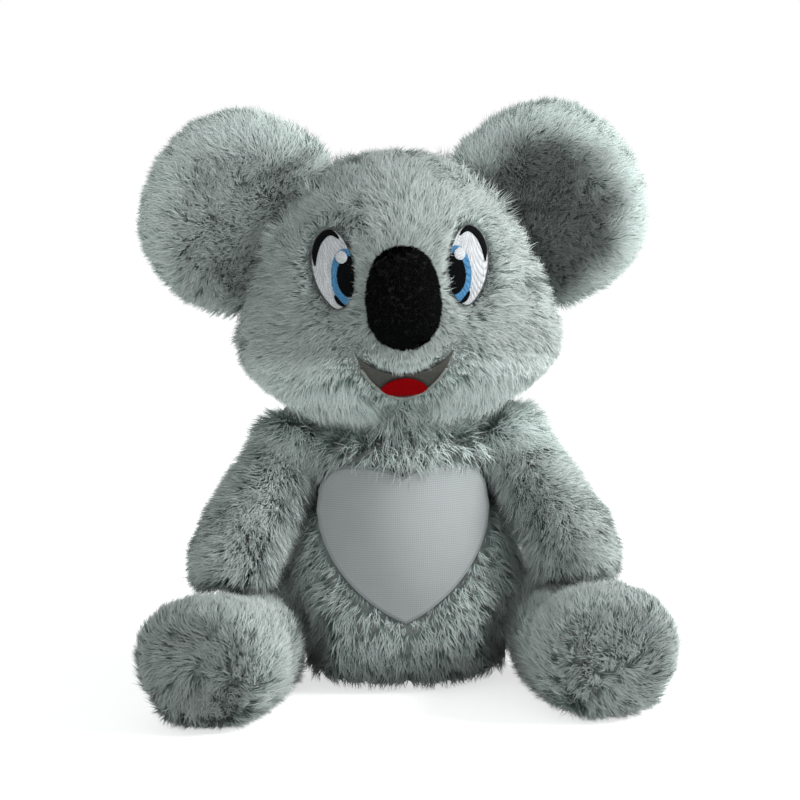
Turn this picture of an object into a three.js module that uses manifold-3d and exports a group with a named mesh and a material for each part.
// A sitting plush koala, built as a soft toy is sewn: bags of long-pile plush round fibre fill, a pellet
// pouch in the seat, a knitted heart on the belly, and an embroidered face with a stuffed nose.
// Millimetres, +Z up, facing -Y. The origin is under the middle of the whole toy, on the surface it sits on.
import * as THREE from "three";
import { mergeVertices } from "three/addons/utils/BufferGeometryUtils.js";
import Module from "manifold-3d";

const wasm = await Module();
wasm.setup();
const radians = THREE.MathUtils.degToRad;

// Plush cloth, seams and gaps
const PLUSH_THICK = 9; // backing and pile together
const SEAM_GAP = 0.3; // between sewn pieces
const TURN_GAP = 0.8; // round the ends that turn in their sockets
const HAND_GAP = 2; // between a resting hand and the thigh under it
const REST_TRIM = 1; // a form is cut flat this deep where the toy sits
const OVERRUN = 200; // how far a cutting shape runs past what it cuts

// Body: a pear, broad in the seat
const BODY_WIDTH = 116;
const BODY_DEPTH = 108;
const BODY_HEIGHT = 127;
const BODY_WIDTH_SHARES = [1.5, 1.24, 1.13, 1.05, 0.97, 0.91, 0.91, 1.03, 1.3];
const BODY_DEPTH_SHARES = [1.7, 1.27, 1.06, 1, 0.96, 0.93, 0.93, 1, 1.2];
const BODY_LEAN_SHARES = [0, 0.06, 0.1, 0.1, 0.08, 0.05, 0.02, 0, 0];
const BODY_POWERS = { round: 2.6, square: 2.6 };
const POUCH_HEIGHT = 26; // top of the pellet pouch above the seat

// Heart panel on the belly
const HEART_WIDTH = 81;
const HEART_HEIGHT = 72;
const HEART_DROP = 56.5; // its middle below the neck's middle
const HEART_DEEP = 4; // below the tips of the pile
const HEART_THICK = 2.7;

// Neck: a ball of tight fill in the body's top, that the head turns and nods on
const NECK_RADIUS = 22;
const NECK_FORWARD = 4;
const NOD_ROOM_DEG = 9; // the head's underside rises this steeply from the neck
const HEAD_TURN_DEG = 2.5; // the head looks a little to its left

// Head: narrow crown, broad cheeks
const HEAD_WIDTH = 156;
const HEAD_DEPTH = 120;
const HEAD_HEIGHT = 130;
const HEAD_DROP = 3; // how far the head's form would reach below the neck's middle
const HEAD_WIDTH_SHARES = [1.4, 1.29, 1.15, 1.02, 0.93, 0.865, 0.83, 0.82, 0.95];
const HEAD_DEPTH_SHARES = [1.2, 1.17, 1.1, 1.03, 0.98, 0.95, 0.92, 0.9, 0.95];
const HEAD_LEAN_SHARES = [0.05, 0.1, 0.13, 0.11, 0.07, 0.03, 0.01, 0, 0];
const HEAD_POWERS = { round: 2, square: 2.1 };

// Nose: black short-pile cover over fill. Heights on the face are above the neck's middle.
const NOSE_WIDTH = 35.5;
const NOSE_HEIGHT = 49;
const NOSE_DEPTH = 27;
const NOSE_MIDDLE = 59;
const NOSE_SUNK = 2; // how far its middle lies behind the tips of the face's pile
const NOSE_THICK = 3;
const NOSE_WIDTH_SHARES = [0.95, 1.03, 1.06, 1.04, 1, 0.96, 0.95, 0.97, 0.95];
const NOSE_DEPTH_SHARES = [0.9, 1, 1.08, 1.08, 1, 0.92, 0.86, 0.82, 0.8];
const NOSE_POWERS = { round: 2.2, square: 2 };

// Mouth: a felt crescent with a red tongue, set into the pile
const MOUTH_WIDTH = 45.5;
const MOUTH_HEIGHT = 23.3;
const MOUTH_MIDDLE = 23.6;
const FELT_THICK = 1.2;
const FELT_DEEP = 6;
const TONGUE_WIDTH = 21.5;
const TONGUE_HEIGHT = 9.5;
const TONGUE_LIFT = 1.2; // its lower edge above the mouth's

// Eyes: embroidered fields, one on another, set into short pile
const EYE_WIDTH = 18.8;
const EYE_HEIGHT = 35.4;
const EYE_APART = 62.6; // between the middles of the two eyes
const EYE_MIDDLE = 73;
const EYE_DEEP = 5.2; // below the tips of the pile
const THREAD_THICK = 0.8;
const IRIS_WIDTH = 13.2;
const IRIS_HEIGHT = 25;
const PUPIL_WIDTH = 10.8;
const PUPIL_HEIGHT = 17;
const GLINT_WIDTH = 5.4;
const LID_THICK = 2.9;
const LOWER_LID_THICK = 1.8;

// Ears: thick round cushions, dished in front, pinched at the seam
const EAR_WIDTH = 99;
const EAR_HEIGHT = 102;
const EAR_THICK = 42;
const EAR_DISH = 9; // how deep the front is dished
const EAR_SEAM_RADIUS = 14; // half the ear's thickness at its seam
const EAR_SEAM_HEIGHT = 89; // middle of the seam above the neck's middle
const EAR_OUT = 13.5; // the ear's middle out from its seam
const EAR_TILT_DEG = 31.5; // the seam leans out at its lower end
const EAR_BACK = 2; // the ear's middle behind the neck's middle
const EAR_FOLD_DEG = 15; // how far the ear folds each way
const EAR_END_GAP = 3; // in the head's room for the ear, above and below the seam
const EAR_HEAD_GAP = 2; // between the ear and the head outside the seam
const EAR_THICK_SHARES = [0.72, 0.66, 0.66, 0.78, 0.92, 1, 1, 0.98, 0.95];
const EAR_POWERS = { round: 2.2, square: 2 };

// Arms: from the shoulder out, down and forward to a hand on the thigh
const SHOULDER_DROP = 13; // the shoulder's middle below the neck's middle
const SHOULDER_OUT = 5.5; // the shoulder's middle outside the body's side there
const SHOULDER_FORWARD = 9;
const SHOULDER_RADIUS = 20;
const ARM_LENGTH = 89; // from the shoulder's middle to the hand's tip
const ARM_WIDTH = 41;
const ARM_OUT_DEG = 30;
const ARM_FORWARD_DEG = 29;
const ARM_WIDTH_SHARES = [0.9, 0.98, 1, 1, 1.02, 1.07, 1.13, 1.17, 1.17];
const ARM_BOW_SHARES = [0, 0.04, 0.08, 0.11, 0.12, 0.1, 0.06, 0, -0.06];
const ARM_POWERS = { round: 3, square: 2 };

// Legs: from the hip forward and out along the floor to a big round foot
const HIP_OUT = 67;
const HIP_FORWARD = 12;
const HIP_RADIUS = 26;
const LEG_LENGTH = 117; // from the hip's middle to the sole
const LEG_HEIGHT = 56;
const LEG_WIDTH = 61;
const LEG_SPLAY_DEG = 13;
const LEG_ROOM_DEG = 14; // its room in the body and under the hand opens this far each way
const LEG_ROOM_GAP = 2.5; // and leaves this much round the tube
const LEG_WIDTH_SHARES = [1.16, 1.2, 1.16, 1.06, 0.97, 0.91, 0.85, 0.78, 0.64];
const LEG_HEIGHT_SHARES = [1.12, 1.14, 1.1, 1.01, 0.94, 0.9, 0.88, 0.84, 0.72];
const LEG_POWERS = { round: 5, square: 2.2 }; // a blunt foot
const SOLE_THICK = 9;
const STUFFING_HOLE = 9; // radius of the hole a limb is filled through

// How finely a form is divided, round it and along it
const BODY_DIVISIONS = [20, 12];
const HEAD_DIVISIONS = [24, 14];
const EAR_DIVISIONS = [18, 10];
const ARM_DIVISIONS = [12, 9];
const LEG_DIVISIONS = [14, 10];
const NOSE_DIVISIONS = [12, 8];
const BALL_DIVISIONS = [14, 8];
const LINING_DIVISIONS = [10, 6];
const LARGE_LINING_DIVISIONS = [14, 8];
const CURVE_STEPS = 6; // along each curve of an outline

// Materials
function cloth(colour, roughness) {
  return new THREE.MeshStandardMaterial({ color: colour, roughness, metalness: 0 });
}
const PLUSH = cloth("#8f9a98", 0.95);
const FILL = cloth("#f2f1ec", 1);
const POUCH_CLOTH = cloth("#e4e2da", 0.9);
const KNIT = cloth("#abb0b0", 0.8);
const BLACK_PILE = cloth("#0a0c0b", 0.9);
const FELT = cloth("#65645c", 0.95);
const RED_FELT = cloth("#b0101a", 0.9);
const WHITE_THREAD = cloth("#e8eaee", 0.5);
const BLUE_THREAD = cloth("#3f8cc0", 0.5);
const BLACK_THREAD = cloth("#101214", 0.5);

// The share at a place from 0 to 1 along a list of shares, with a smooth curve through them.
function shareAt(shares, place) {
  const steps = shares.length - 1;
  const curve = new THREE.SplineCurve(shares.map((s, i) => new THREE.Vector2(i / steps, s)));
  return curve.getPoint(THREE.MathUtils.clamp(place, 0, 1)).y;
}

// Only positions, with shared vertices merged: what the joining and cutting need.
function welded(geometry) {
  const bare = geometry.clone();
  bare.deleteAttribute("normal");
  bare.deleteAttribute("uv");
  return mergeVertices(bare);
}

// A stuffed form: a unit ball with its poles on Z, pulled to its sizes. The shares run from the
// bottom pole to the top one, and the lean moves the middle of each level forward. Round and square
// are powers, 2 for an ellipse: how blunt the form's ends are, and how square it is seen from above.
function stuffed(form, [around, along]) {
  const ball = welded(new THREE.SphereGeometry(1, around, along).rotateX(radians(90)));
  const spots = ball.attributes.position;
  for (let i = 0; i < spots.count; i++) {
    const [x, y, z] = [spots.getX(i), spots.getY(i), spots.getZ(i)];
    const rise = Math.sign(z) * Math.abs(z) ** (2 / form.round);
    const flat = Math.hypot(x, y);
    const corner = (Math.abs(x) ** form.square + Math.abs(y) ** form.square) ** (1 / form.square);
    const ring = flat > 0 ? flat ** (2 / form.round) / corner : 0;
    const level = (rise + 1) / 2;
    const wide = shareAt(form.widthShares, level) * (form.width / 2);
    const deep = shareAt(form.depthShares, level) * (form.depth / 2);
    const lean = shareAt(form.leanShares, level) * (form.depth / 2);
    spots.setXYZ(i, x * ring * wide, y * ring * deep - lean, rise * (form.height / 2));
  }
  return ball;
}

// The same form, smaller by a thickness all round.
function lined(form, thick) {
  return {
    ...form,
    width: form.width - 2 * thick,
    depth: form.depth - 2 * thick,
    height: form.height - 2 * thick,
  };
}

// How far a stuffed form reaches at a height above its middle: forward, and to the side.
function reachOf(form, height) {
  const rise = height / (form.height / 2);
  const ring = (1 - Math.abs(rise) ** form.round) ** (1 / form.round);
  const level = (rise + 1) / 2;
  return {
    side: ring * shareAt(form.widthShares, level) * (form.width / 2),
    front: (ring * shareAt(form.depthShares, level) + shareAt(form.leanShares, level)) * (form.depth / 2),
  };
}

// The same surface, moved out along its normals, or in where the distance is negative.
function grown(geometry, distance) {
  const copy = welded(geometry);
  copy.computeVertexNormals();
  const { position, normal } = copy.attributes;
  for (let i = 0; i < position.count; i++) {
    position.setXYZ(
      i,
      position.getX(i) + normal.getX(i) * distance,
      position.getY(i) + normal.getY(i) * distance,
      position.getZ(i) + normal.getZ(i) * distance,
    );
  }
  copy.deleteAttribute("normal");
  return copy;
}

function solid(geometry, place = new THREE.Matrix4()) {
  const shape = welded(geometry).applyMatrix4(place);
  return new wasm.Manifold(
    new wasm.Mesh({
      numProp: 3,
      vertProperties: shape.attributes.position.array,
      triVerts: new Uint32Array(shape.index.array),
    }),
  );
}

function cut(piece, ...cutters) {
  return cutters.reduce((left, cutter) => left.subtract(cutter), piece);
}

// A layer of a form between two depths below its surface.
function layer(geometry, shallow, deep) {
  return solid(grown(geometry, -shallow)).subtract(solid(grown(geometry, -deep)));
}

// Everything below a level.
function below(level) {
  return solid(new THREE.BoxGeometry(2 * OVERRUN, 2 * OVERRUN, OVERRUN).translate(0, 0, level - OVERRUN / 2));
}

// A closed smooth outline through points, each in shares of a half width and a half height.
function smoothOutline(points) {
  const curve = new THREE.CatmullRomCurve3(points.map(([x, y]) => new THREE.Vector3(x, y, 0)), true);
  return new THREE.Shape(curve.getPoints(2 * points.length).slice(0, -1));
}

// An outline's points at its real size, moved out by a margin square to its edge.
function sizedPoints(outline, width, height, margin) {
  const spots = outline.getPoints(CURVE_STEPS).map((spot) => new THREE.Vector2((spot.x * width) / 2, (spot.y * height) / 2));
  const points = spots.filter((spot, i) => spot.distanceTo(spots.at(i - 1)) > SEAM_GAP / 10);
  if (THREE.ShapeUtils.isClockWise(points)) points.reverse();
  return points.map((point, i) => {
    const arriving = point.clone().sub(points.at(i - 1)).normalize();
    const leaving = points[(i + 1) % points.length].clone().sub(point).normalize();
    const normal = new THREE.Vector2(arriving.y + leaving.y, -arriving.x - leaving.x).normalize();
    const mitre = Math.max(1 / 2, normal.x * arriving.y - normal.y * arriving.x);
    return point.clone().addScaledVector(normal, margin / mitre);
  });
}

// An outline pushed forward through the face or the belly, at its size plus a margin all round.
function punch(outline, width, height, x, z, margin = 0) {
  const sized = new THREE.Shape(sizedPoints(outline, width, height, margin));
  return solid(
    new THREE.ExtrudeGeometry(sized, { depth: OVERRUN, bevelEnabled: false })
      .rotateX(radians(90))
      .translate(x, 0, z),
  );
}

// Each group is one part of the toy that moves by itself, with its origin at its joint.
const koala = new THREE.Group();

function grouped(parent, x, y, z) {
  const group = new THREE.Group();
  group.position.set(x, y, z);
  parent.add(group);
  return group;
}

function placeOf(group) {
  group.updateWorldMatrix(true, false);
  return group.matrixWorld;
}

function awayFrom(group) {
  return placeOf(group).clone().invert();
}

function asSolidIn(group, geometry) {
  return solid(geometry, placeOf(group));
}

// A named piece from a solid that is given in the frame of its group, or in the frame in from.
function piece(group, name, shape, material, from = new THREE.Matrix4()) {
  const { vertProperties, triVerts } = shape.simplify(SEAM_GAP / 5).getMesh();
  const geometry = new THREE.BufferGeometry()
    .setAttribute("position", new THREE.BufferAttribute(new Float32Array(vertProperties), 3))
    .setIndex(new THREE.BufferAttribute(new Uint32Array(triVerts), 1))
    .applyMatrix4(from);
  geometry.computeVertexNormals();
  const mesh = new THREE.Mesh(geometry, material);
  mesh.name = name;
  group.add(mesh);
}

// Where the parts join
const bodyForm = {
  width: BODY_WIDTH,
  depth: BODY_DEPTH,
  height: BODY_HEIGHT,
  ...BODY_POWERS,
  widthShares: BODY_WIDTH_SHARES,
  depthShares: BODY_DEPTH_SHARES,
  leanShares: BODY_LEAN_SHARES,
};
const headForm = {
  width: HEAD_WIDTH,
  depth: HEAD_DEPTH,
  height: HEAD_HEIGHT,
  ...HEAD_POWERS,
  widthShares: HEAD_WIDTH_SHARES,
  depthShares: HEAD_DEPTH_SHARES,
  leanShares: HEAD_LEAN_SHARES,
};
const bodyMiddle = BODY_HEIGHT / 2 - REST_TRIM;
const headMiddle = HEAD_HEIGHT / 2 - HEAD_DROP; // above the neck's middle
const neckHeight = bodyMiddle + BODY_HEIGHT / 2;
const shoulderHeight = neckHeight - SHOULDER_DROP;
const shoulderSide = reachOf(bodyForm, shoulderHeight - bodyMiddle).side + SHOULDER_OUT;
const legMiddle = (LEG_HEIGHT * LEG_HEIGHT_SHARES[1]) / 2 - REST_TRIM;
const earSide = reachOf(headForm, EAR_SEAM_HEIGHT - headMiddle).side;

const neck = grouped(koala, 0, -NECK_FORWARD, neckHeight);
const head = grouped(neck, 0, 0, 0);
head.rotation.z = radians(HEAD_TURN_DEG);
const SIDES = [
  ["left", 1],
  ["right", -1],
];

// The legs: a ball at the hip and a tube that swells into the foot, with a sole sewn across it
const legForm = {
  width: LEG_WIDTH,
  depth: LEG_HEIGHT,
  height: LEG_LENGTH + HIP_RADIUS / 2,
  ...LEG_POWERS,
  widthShares: LEG_WIDTH_SHARES,
  depthShares: LEG_HEIGHT_SHARES,
  leanShares: LEG_HEIGHT_SHARES.map((share) => share - LEG_HEIGHT_SHARES[1]),
};

// The leg's form runs forward from inside the hip's ball, and its underside stays level.
// The spread widens it by the room that it needs to swing that far each way.
function legSurface(form, divisions, spread = 0) {
  const tube = stuffed(form, divisions)
    .rotateX(radians(-90))
    .translate(0, -LEG_LENGTH + legForm.height / 2, 0);
  const spots = tube.attributes.position;
  for (let i = 0; i < spots.count; i++) {
    const swing = Math.abs(spots.getY(i)) * Math.tan(radians(spread));
    spots.setX(i, spots.getX(i) + Math.sign(spots.getX(i)) * swing);
  }
  return tube;
}

const hip = new THREE.SphereGeometry(HIP_RADIUS, ...BALL_DIVISIONS);
const legs = SIDES.map(([side, out]) => {
  const group = grouped(koala, out * HIP_OUT, -HIP_FORWARD, legMiddle);
  group.rotation.z = radians(out * LEG_SPLAY_DEG);
  const whole = solid(legSurface(legForm, LEG_DIVISIONS)).add(solid(hip)).subtract(below(-legMiddle));
  const room = solid(grown(legSurface(legForm, LEG_DIVISIONS, LEG_ROOM_DEG), LEG_ROOM_GAP))
    .add(solid(grown(hip, TURN_GAP)));
  const within = (thick) => solid(legSurface(lined(legForm, thick), LINING_DIVISIONS))
    .add(solid(new THREE.SphereGeometry(HIP_RADIUS - thick, ...LINING_DIVISIONS)));
  const inside = within(PLUSH_THICK);
  const fill = within(PLUSH_THICK + SEAM_GAP);
  const hole = solid(
    new THREE.CylinderGeometry(STUFFING_HOLE, STUFFING_HOLE, OVERRUN, LINING_DIVISIONS[0])
      .translate(0, OVERRUN / 2, 0),
  );
  const solePlane = LEG_LENGTH - SOLE_THICK;
  const ahead = (distance) => solid(
    new THREE.BoxGeometry(2 * OVERRUN, OVERRUN, 2 * OVERRUN).translate(0, -distance - OVERRUN / 2, 0),
  );
  piece(group, `leg_${side}_skin`, cut(whole, inside, hole, ahead(solePlane)), PLUSH);
  piece(group, `leg_${side}_sole`, whole.intersect(ahead(solePlane + SEAM_GAP)), PLUSH);
  piece(group, `leg_${side}_fill`, cut(fill, ahead(solePlane)), FILL);
  return { group, whole, room };
});

// The arms: a ball at the shoulder and a bowed tube that swells into the hand
const armForm = {
  width: ARM_WIDTH,
  depth: ARM_WIDTH,
  height: ARM_LENGTH + SHOULDER_RADIUS / 2,
  ...ARM_POWERS,
  widthShares: ARM_WIDTH_SHARES.toReversed(),
  depthShares: ARM_WIDTH_SHARES.toReversed(),
  leanShares: ARM_BOW_SHARES.toReversed(),
};

function armSurface(form, out, divisions) {
  return stuffed(form, divisions)
    .rotateZ(radians(out * 90))
    .translate(0, 0, -ARM_LENGTH + armForm.height / 2);
}

const arms = SIDES.map(([side, out]) => {
  const group = grouped(koala, out * shoulderSide, -SHOULDER_FORWARD, shoulderHeight);
  group.rotation.set(radians(-ARM_FORWARD_DEG), radians(-out * ARM_OUT_DEG), 0, "YXZ");
  const shoulder = new THREE.SphereGeometry(SHOULDER_RADIUS, ...BALL_DIVISIONS);
  const whole = solid(armSurface(armForm, out, ARM_DIVISIONS)).add(solid(shoulder));
  const room = solid(grown(armSurface(armForm, out, ARM_DIVISIONS), SEAM_GAP))
    .add(solid(grown(shoulder, TURN_GAP)));
  const within = (thick) => solid(armSurface(lined(armForm, thick), out, LINING_DIVISIONS))
    .add(solid(new THREE.SphereGeometry(SHOULDER_RADIUS - thick, ...LINING_DIVISIONS)));
  const inside = within(PLUSH_THICK);
  const fill = within(PLUSH_THICK + SEAM_GAP);
  const hole = solid(
    new THREE.CylinderGeometry(STUFFING_HOLE, STUFFING_HOLE, OVERRUN, LINING_DIVISIONS[0])
      .rotateX(radians(90))
      .translate(0, 0, OVERRUN / 2),
  );
  const home = placeOf(group);
  const thighs = legs.map((leg) => solid(
    grown(legSurface(legForm, LEG_DIVISIONS, LEG_ROOM_DEG), HAND_GAP),
    placeOf(leg.group),
  ).add(solid(grown(hip, HAND_GAP), placeOf(leg.group))));
  const inToy = (shape) => shape.transform(home.elements);
  const skin = cut(inToy(cut(whole, inside, hole)), ...thighs);
  piece(group, `arm_${side}_skin`, skin, PLUSH, awayFrom(group));
  piece(group, `arm_${side}_fill`, cut(inToy(fill), ...thighs), FILL, awayFrom(group));
  return { group, room: inToy(room) };
});

// The neck: a ball of tightly packed fill, held in the top of the body and the bottom of the head
const neckBall = new THREE.SphereGeometry(NECK_RADIUS, ...BALL_DIVISIONS).rotateX(radians(90));
const neckRoom = grown(neckBall, TURN_GAP);
piece(neck, "neck_fill", solid(neckBall), FILL);

// The body: the plush bag, the pellet pouch in its seat and the fill above it
const bodySurface = stuffed(bodyForm, BODY_DIVISIONS).translate(0, 0, bodyMiddle);
const withinBody = (thick) => solid(
  stuffed(lined(bodyForm, thick), LARGE_LINING_DIVISIONS).translate(0, 0, bodyMiddle),
);
const roomInBody = [
  asSolidIn(neck, neckRoom),
  ...legs.map((leg) => leg.room.transform(placeOf(leg.group).elements)),
  ...arms.map((arm) => arm.room),
];
const heart = new THREE.Shape()
  .moveTo(0, -1)
  .bezierCurveTo(0.45, -0.78, 0.98, -0.2, 1, 0.42)
  .bezierCurveTo(1, 0.8, 0.85, 1, 0.6, 1)
  .bezierCurveTo(0.3, 1, 0.12, 0.97, 0, 0.86)
  .bezierCurveTo(-0.12, 0.97, -0.3, 1, -0.6, 1)
  .bezierCurveTo(-0.85, 1, -1, 0.8, -1, 0.42)
  .bezierCurveTo(-0.98, -0.2, -0.45, -0.78, 0, -1);
const heartMiddle = neckHeight - HEART_DROP;
const heartPanel = punch(heart, HEART_WIDTH, HEART_HEIGHT, 0, heartMiddle);
const heartHole = punch(heart, HEART_WIDTH, HEART_HEIGHT, 0, heartMiddle, SEAM_GAP);
const floor = below(0);
const bodyInside = withinBody(PLUSH_THICK);
const heartFloor = solid(grown(bodySurface, -HEART_DEEP - HEART_THICK - SEAM_GAP));
const bodyStuffing = cut(withinBody(PLUSH_THICK + SEAM_GAP), heartHole.subtract(heartFloor), ...roomInBody);
piece(koala, "body_skin", cut(solid(bodySurface), bodyInside, heartHole, floor, ...roomInBody), PLUSH);
piece(koala, "body_fill", cut(bodyStuffing, below(POUCH_HEIGHT + SEAM_GAP)), FILL);
piece(koala, "pellet_pouch", bodyStuffing.intersect(below(POUCH_HEIGHT)), POUCH_CLOTH);
const heartLayer = layer(bodySurface, HEART_DEEP, HEART_DEEP + HEART_THICK);
piece(koala, "heart_panel", cut(heartLayer.intersect(heartPanel), ...roomInBody), KNIT);

// The ears: seen from the front a round cushion, with its seam along the local Z axis
const earForm = {
  width: EAR_THICK,
  depth: EAR_HEIGHT,
  height: EAR_WIDTH,
  ...EAR_POWERS,
  widthShares: EAR_THICK_SHARES,
  depthShares: EAR_THICK_SHARES.map(() => 1),
  leanShares: EAR_THICK_SHARES.map(() => 0),
};

function earSurface(form, out, divisions) {
  const cushion = stuffed(form, divisions)
    .rotateZ(radians(90))
    .rotateY(radians(90))
    .rotateZ(radians(out > 0 ? 0 : 180))
    .translate(out * EAR_OUT, 0, 0);
  const spots = cushion.attributes.position;
  for (let i = 0; i < spots.count; i++) {
    const [x, y, z] = [spots.getX(i), spots.getY(i), spots.getZ(i)];
    const across = Math.hypot(x - out * EAR_OUT, z) / (EAR_WIDTH / 2);
    const dish = y < 0 ? EAR_DISH * Math.max(0, 1 - across ** 2) ** 2 : 0;
    spots.setXYZ(i, x, y + dish, z);
  }
  return cushion;
}

const ears = SIDES.map(([side, out]) => {
  const group = grouped(head, out * earSide, EAR_BACK, EAR_SEAM_HEIGHT);
  group.rotation.y = radians(-out * EAR_TILT_DEG);
  const column = (radius) => new THREE.CylinderGeometry(radius, radius, OVERRUN, BALL_DIVISIONS[0])
    .rotateX(radians(90));
  const behindSeam = solid(
    new THREE.BoxGeometry(OVERRUN, 2 * OVERRUN, 2 * OVERRUN).translate((-out * OVERRUN) / 2, 0, 0),
  ).subtract(solid(column(EAR_SEAM_RADIUS)));
  return { side, out, group, column, behindSeam };
});

// The head: the plush bag with rooms for the neck and ears, and shallow beds for the eyes and mouth
const headSurface = stuffed(headForm, HEAD_DIVISIONS).translate(0, 0, headMiddle);
const withinHead = (thick) => solid(
  stuffed(lined(headForm, thick), LARGE_LINING_DIVISIONS).translate(0, 0, headMiddle),
);
const underHead = solid(
  new THREE.LatheGeometry(
    [
      new THREE.Vector2(0, -OVERRUN),
      new THREE.Vector2(OVERRUN, -OVERRUN),
      new THREE.Vector2(OVERRUN, OVERRUN * Math.tan(radians(NOD_ROOM_DEG))),
      new THREE.Vector2(0, 0),
    ],
    HEAD_DIVISIONS[0],
  ).rotateX(radians(90)),
);
const roomInHead = [
  solid(neckRoom),
  underHead,
  ...ears.map((ear) => {
    ear.group.updateMatrix();
    return solid(ear.column(EAR_SEAM_RADIUS + TURN_GAP), ear.group.matrix)
      .intersect(solid(grown(earSurface(earForm, ear.out, EAR_DIVISIONS), EAR_END_GAP), ear.group.matrix));
  }),
];

const mouth = new THREE.Shape()
  .moveTo(-1, 1)
  .bezierCurveTo(-0.75, -0.35, -0.35, -1, 0, -1)
  .bezierCurveTo(0.35, -1, 0.75, -0.35, 1, 1)
  .bezierCurveTo(0.7, 0.3, 0.4, 0.06, 0, 0.06)
  .bezierCurveTo(-0.4, 0.06, -0.7, 0.3, -1, 1);
const mouthField = punch(mouth, MOUTH_WIDTH, MOUTH_HEIGHT, 0, MOUTH_MIDDLE);
const TONGUE_OUTLINE_SHARES = [
  [-1, -0.45],
  [-0.5, -0.92],
  [0, -1],
  [0.5, -0.92],
  [1, -0.45],
  [0.72, 0.5],
  [0, 1],
  [-0.72, 0.5],
];
const tongueMiddle = MOUTH_MIDDLE - MOUTH_HEIGHT / 2 + TONGUE_LIFT + TONGUE_HEIGHT / 2;

// Eye outlines in shares of the eye's half width and half height, with x away from the nose
const EYE_OUTLINE_SHARES = [
  [-1, 0.1],
  [-0.95, -0.55],
  [-0.6, -0.9],
  [-0.1, -1],
  [0.45, -0.72],
  [0.85, -0.28],
  [1, 0.25],
  [0.8, 0.68],
  [0.35, 0.95],
  [-0.15, 0.97],
  [-0.65, 0.68],
];
const eye = smoothOutline(EYE_OUTLINE_SHARES);
const roundOutline = new THREE.Shape().absarc(0, 0, 1, 0, radians(360));
const IRIS_PLACE_SHARES = [-0.62, -0.2];
const PUPIL_PLACE_SHARES = [-0.8, -0.2];
const GLINT_PLACE_SHARES = [-0.45, 0.3];

function eyeField(outline, out, width, height, [acrossShare, upShare], margin = 0) {
  return punch(
    outline,
    width,
    height,
    out * (EYE_APART / 2) + out * acrossShare * (EYE_WIDTH / 2),
    EYE_MIDDLE + upShare * (EYE_HEIGHT / 2),
    margin,
  );
}

function facing(out, outline) {
  return out > 0 ? outline : new THREE.Shape(
    outline.getPoints(CURVE_STEPS).map((point) => new THREE.Vector2(-point.x, point.y)).reverse(),
  );
}

// The white lies lowest, then the iris and lids, the pupil, and the glint, each a thread and a gap higher.
const [whiteLayer, irisLayer, pupilLayer, glintLayer] = [0, 1, 2, 3].map((steps) => {
  const deep = EYE_DEEP - steps * (THREAD_THICK + SEAM_GAP);
  return layer(headSurface, deep, deep + THREAD_THICK);
});

const eyeBeds = SIDES.map(([side, out]) => {
  const whole = eyeField(facing(out, eye), out, EYE_WIDTH, EYE_HEIGHT, [0, 0]);
  const bed = eyeField(facing(out, eye), out, EYE_WIDTH, EYE_HEIGHT, [0, 0], LID_THICK / 2 + SEAM_GAP);
  const iris = eyeField(roundOutline, out, IRIS_WIDTH, IRIS_HEIGHT, IRIS_PLACE_SHARES);
  const pupil = eyeField(roundOutline, out, PUPIL_WIDTH, PUPIL_HEIGHT, PUPIL_PLACE_SHARES);
  const glint = eyeField(roundOutline, out, GLINT_WIDTH, GLINT_WIDTH, GLINT_PLACE_SHARES);
  const grownEye = eyeField(facing(out, eye), out, EYE_WIDTH, EYE_HEIGHT, [0, 0], LID_THICK / 2);
  const innerEye = eyeField(facing(out, eye), out, EYE_WIDTH, EYE_HEIGHT, [0, 0], -LID_THICK / 2);
  const lidLine = EYE_MIDDLE + EYE_HEIGHT / 4;
  const lowerLine = EYE_MIDDLE - EYE_HEIGHT / 3;
  const lowerInner = eyeField(facing(out, eye), out, EYE_WIDTH, EYE_HEIGHT, [0, 0], -LOWER_LID_THICK);
  const irisRoom = eyeField(roundOutline, out, IRIS_WIDTH, IRIS_HEIGHT, IRIS_PLACE_SHARES, SEAM_GAP);
  piece(head, `eye_${side}_white`, whiteLayer.intersect(whole), WHITE_THREAD);
  piece(head, `eye_${side}_iris`, cut(irisLayer.intersect(whole).intersect(iris), below(lowerLine)), BLUE_THREAD);
  piece(head, `eye_${side}_pupil`, pupilLayer.intersect(whole).intersect(pupil), BLACK_THREAD);
  piece(head, `eye_${side}_glint`, glintLayer.intersect(glint), WHITE_THREAD);
  piece(
    head,
    `eye_${side}_upper_lid`,
    cut(irisLayer.intersect(grownEye), innerEye, below(lidLine), irisRoom),
    BLACK_THREAD,
  );
  piece(
    head,
    `eye_${side}_lower_lid`,
    cut(irisLayer.intersect(whole).intersect(below(lowerLine - SEAM_GAP)), lowerInner),
    BLACK_THREAD,
  );
  return bed;
});
const eyeFloor = solid(grown(headSurface, -EYE_DEEP - THREAD_THICK - SEAM_GAP));
const mouthFloor = solid(grown(headSurface, -FELT_DEEP - FELT_THICK - SEAM_GAP));
const mouthBed = punch(mouth, MOUTH_WIDTH, MOUTH_HEIGHT, 0, MOUTH_MIDDLE, SEAM_GAP);
const headInside = withinHead(PLUSH_THICK);
const headWhole = cut(solid(headSurface), ...roomInHead);
piece(
  head,
  "head_skin",
  cut(headWhole, headInside, mouthBed.subtract(mouthFloor), ...eyeBeds.map((bed) => bed.subtract(eyeFloor))),
  PLUSH,
);
piece(head, "head_fill", cut(withinHead(PLUSH_THICK + SEAM_GAP), ...roomInHead), FILL);
piece(head, "mouth_felt", layer(headSurface, FELT_DEEP, FELT_DEEP + FELT_THICK).intersect(mouthField), FELT);
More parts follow.
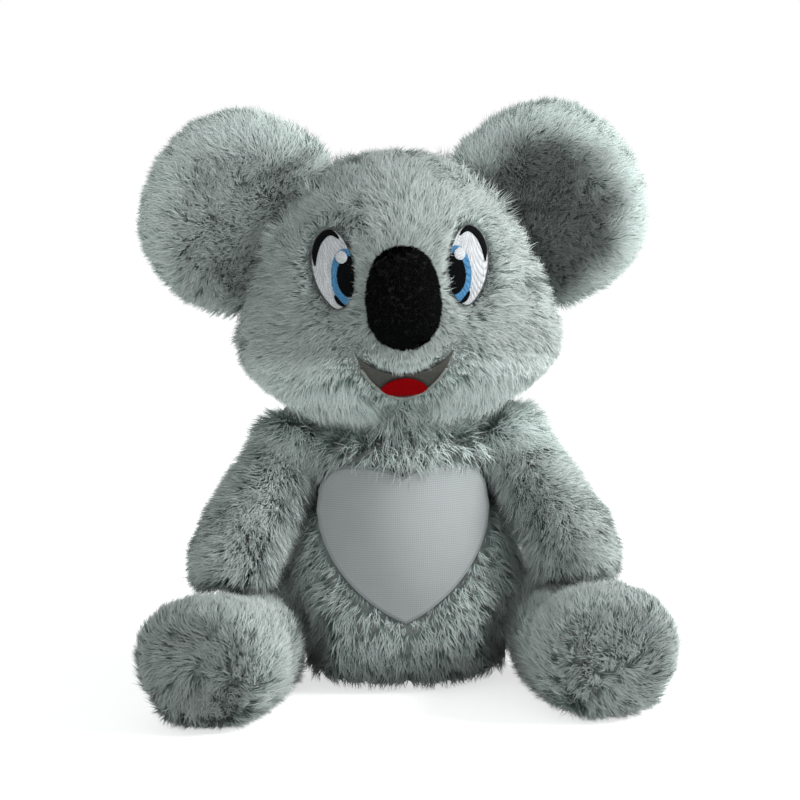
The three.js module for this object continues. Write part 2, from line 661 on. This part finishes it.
piece(
  head,
  "tongue",
  layer(headSurface, FELT_DEEP - SEAM_GAP - FELT_THICK, FELT_DEEP - SEAM_GAP)
    .intersect(punch(smoothOutline(TONGUE_OUTLINE_SHARES), TONGUE_WIDTH, TONGUE_HEIGHT, 0, tongueMiddle))
    .intersect(mouthField),
  RED_FELT,
);

// The nose: a black cover over its own fill, sewn flat to the face
const noseForm = {
  width: NOSE_WIDTH,
  depth: NOSE_DEPTH,
  height: NOSE_HEIGHT,
  ...NOSE_POWERS,
  widthShares: NOSE_WIDTH_SHARES,
  depthShares: NOSE_DEPTH_SHARES,
  leanShares: NOSE_DEPTH_SHARES.map(() => 0),
};
const noseFront = reachOf(headForm, NOSE_MIDDLE - headMiddle).front - NOSE_SUNK;
const noseSurface = stuffed(noseForm, NOSE_DIVISIONS).translate(0, -noseFront, NOSE_MIDDLE);
const withinNose = (thick) => solid(
  stuffed(lined(noseForm, thick), LINING_DIVISIONS).translate(0, -noseFront, NOSE_MIDDLE),
);
const face = solid(grown(headSurface, SEAM_GAP));
piece(head, "nose_cover", cut(solid(noseSurface), face, withinNose(NOSE_THICK)), BLACK_PILE);
piece(head, "nose_fill", cut(withinNose(NOSE_THICK + SEAM_GAP), face), FILL);

// The ears' plush and fill, cut at the seam and kept off the head however the ear is folded
const headOutside = grown(stuffed(headForm, LARGE_LINING_DIVISIONS).translate(0, 0, headMiddle), EAR_HEAD_GAP);
for (const { side, out, group, column, behindSeam } of ears) {
  const headNear = [-EAR_FOLD_DEG, 0, EAR_FOLD_DEG]
    .map((fold) => new THREE.Matrix4().makeRotationZ(radians(fold)).multiply(group.matrix.clone().invert()))
    .map((place) => solid(headOutside, place))
    .reduce((swept, headFolded) => swept.add(headFolded))
    .subtract(solid(column(EAR_SEAM_RADIUS)));
  const whole = cut(solid(earSurface(earForm, out, EAR_DIVISIONS)), behindSeam, headNear);
  const within = (thick) => solid(earSurface(lined(earForm, thick), out, LINING_DIVISIONS));
  const inside = within(PLUSH_THICK);
  const fill = within(PLUSH_THICK + SEAM_GAP);
  piece(group, `ear_${side}_skin`, whole.subtract(inside), PLUSH);
  piece(group, `ear_${side}_fill`, cut(fill, behindSeam, headNear), FILL);
}

// The origin goes under the middle of the toy.
const box = new THREE.Box3().setFromObject(koala, true);
const middle = box.getCenter(new THREE.Vector3());
koala.position.set(-middle.x, -middle.y, -box.min.z);
const toy = new THREE.Group();
toy.add(koala);

export default toy;
